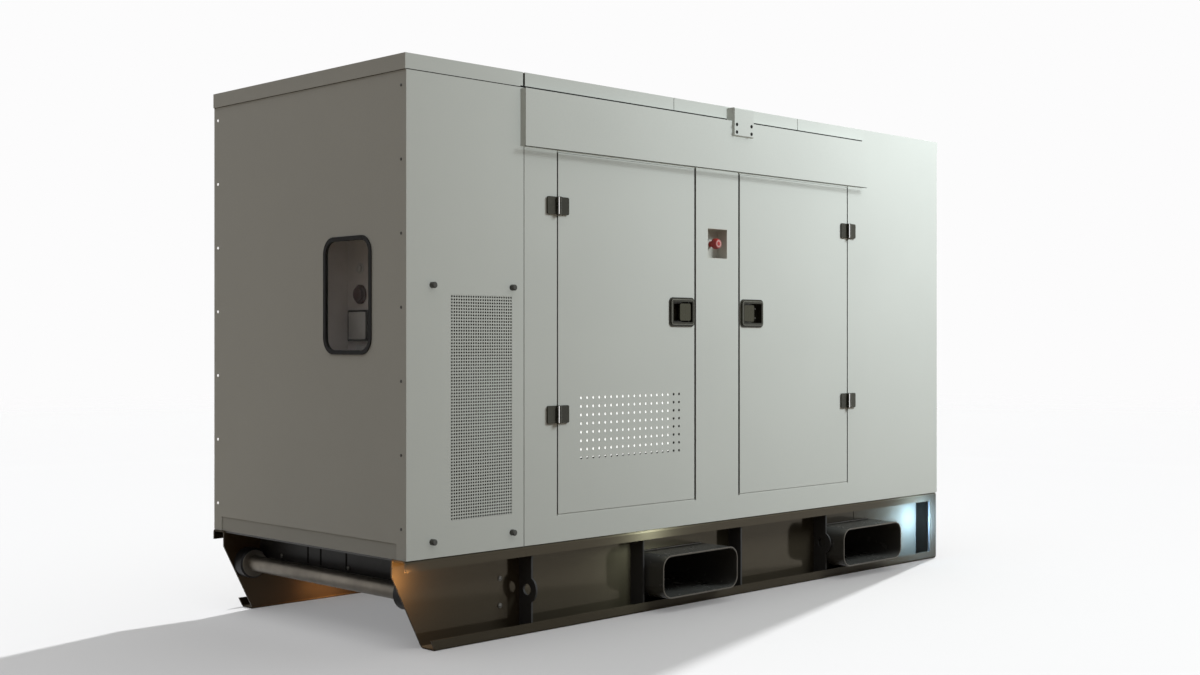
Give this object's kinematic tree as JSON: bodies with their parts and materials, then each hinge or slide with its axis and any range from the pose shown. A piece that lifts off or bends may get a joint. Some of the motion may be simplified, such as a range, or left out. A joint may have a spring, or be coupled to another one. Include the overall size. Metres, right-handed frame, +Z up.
{
  "type": "generator set",
  "caption": "Canopied diesel generator set on a channel base with fork pockets, hinged service doors, vents, a control window and an emergency stop.",
  "frame": {"origin": "on the ground at the middle of the plan", "axes": "+X along the long side to the air end, +Y from the near side to the far side, +Z up"},
  "size_m": [3, 1.282, 1.87],
  "materials": {
    "base_paint": "black gloss enamel",
    "canopy_paint": "light grey fine-textured powder coat",
    "engine_green": "painted castings",
    "filter_white": "pale filter fibre",
    "hardware_black": "black coated steel",
    "inner_grey": "matt grey paint",
    "knob_dark": "dark moulded plastic",
    "latch_chrome": "black chrome",
    "pane_glass": "clear glass",
    "pocket_paint": "black gloss enamel",
    "radiator_black": "matt black paint",
    "seal_rubber": "matt rubber",
    "silencer_steel": "aluminised steel",
    "stop_red": "moulded red plastic",
    "tank_black": "matt black paint",
    "tube_steel": "satin steel"
  },
  "bodies": {
    "canopy": {"air_end_panel": "canopy_paint", "air_end_pocket": "pocket_paint", "air_outlet_screen": "canopy_paint", "alternator": "engine_green", "control_end_panel": "canopy_paint", "control_end_pocket": "pocket_paint", "control_panel": "inner_grey", "cross_members": "base_paint", "deck_plate": "tank_black", "door_headers": "canopy_paint", "drag_tube": "tube_steel", "end_sills": "canopy_paint", "engine": "engine_green", "far_air_side_panel": "canopy_paint", "far_centre_post": "canopy_paint", "far_rail": "base_paint", "far_vent_side_panel": "canopy_paint", "fuel_tank": "tank_black", "hinge_blocks": "hardware_black", "hinge_posts": "canopy_paint", "lashing_plates": "base_paint", "lifting_brackets": "canopy_paint", "machine_bearers": "base_paint", "near_air_side_panel": "canopy_paint", "near_centre_post": "canopy_paint", "near_rail": "base_paint", "near_vent_side_panel": "canopy_paint", "panel_knobs": "knob_dark", "radiator": "radiator_black", "rail_gussets": "base_paint", "rain_hoods": "canopy_paint", "roof_panels": "canopy_paint", "side_sills": "canopy_paint", "side_vent_screens": "canopy_paint", "silencer": "silencer_steel", "stop_recess": "inner_grey", "window_pane": "pane_glass", "window_seal": "seal_rubber"},
    "near_vent_door": {"near_vent_door": "canopy_paint", "near_vent_door_grille": "canopy_paint", "near_vent_door_filter": "filter_white", "near_vent_door_hardware": "hardware_black"},
    "near_plain_door": {"near_plain_door": "canopy_paint", "near_plain_door_hardware": "hardware_black"},
    "near_vent_door_paddle": {"near_vent_door_paddle": "latch_chrome"},
    "near_plain_door_paddle": {"near_plain_door_paddle": "latch_chrome"},
    "far_vent_door": {"far_vent_door": "canopy_paint", "far_vent_door_grille": "canopy_paint", "far_vent_door_filter": "filter_white", "far_vent_door_hardware": "hardware_black"},
    "far_plain_door": {"far_plain_door": "canopy_paint", "far_plain_door_hardware": "hardware_black"},
    "far_vent_door_paddle": {"far_vent_door_paddle": "latch_chrome"},
    "far_plain_door_paddle": {"far_plain_door_paddle": "latch_chrome"},
    "stop_button": {"stop_button": "stop_red"}
  },
  "joints": [
    {"name": "near_vent_door_hinge", "type": "hinge", "parent": "canopy", "child": "near_vent_door", "pos_m": [-0.8535, -0.574, 1], "axis": [0, 0, -1], "range_deg": [0, 110]},
    {"name": "near_plain_door_hinge", "type": "hinge", "parent": "canopy", "child": "near_plain_door", "pos_m": [0.8145, -0.574, 1], "axis": [0, 0, 1], "range_deg": [0, 110]},
    {"name": "near_vent_door_latch", "type": "hinge", "parent": "near_vent_door", "child": "near_vent_door_paddle", "pos_m": [-0.182, -0.563, 1.0835], "axis": [0, 0, 1], "range_deg": [0, 40], "stiffness_Nm_per_rad": 0.4},
    {"name": "near_plain_door_latch", "type": "hinge", "parent": "near_plain_door", "child": "near_plain_door_paddle", "pos_m": [0.143, -0.563, 1.0835], "axis": [0, 0, -1], "range_deg": [0, 40], "stiffness_Nm_per_rad": 0.4},
    {"name": "far_vent_door_hinge", "type": "hinge", "parent": "canopy", "child": "far_vent_door", "pos_m": [-0.8535, 0.574, 1], "axis": [0, 0, 1], "range_deg": [0, 110]},
    {"name": "far_plain_door_hinge", "type": "hinge", "parent": "canopy", "child": "far_plain_door", "pos_m": [0.8145, 0.574, 1], "axis": [0, 0, -1], "range_deg": [0, 110]},
    {"name": "far_vent_door_latch", "type": "hinge", "parent": "far_vent_door", "child": "far_vent_door_paddle", "pos_m": [-0.182, 0.563, 1.0835], "axis": [0, 0, -1], "range_deg": [0, 40], "stiffness_Nm_per_rad": 0.4},
    {"name": "far_plain_door_latch", "type": "hinge", "parent": "far_plain_door", "child": "far_plain_door_paddle", "pos_m": [0.143, 0.563, 1.0835], "axis": [0, 0, 1], "range_deg": [0, 40], "stiffness_Nm_per_rad": 0.4},
    {"name": "stop_button_press", "type": "slide", "parent": "canopy", "child": "stop_button", "axis": [0, 1, 0], "range_m": [0, 0.006], "stiffness_N_per_m": 800}
  ]
}
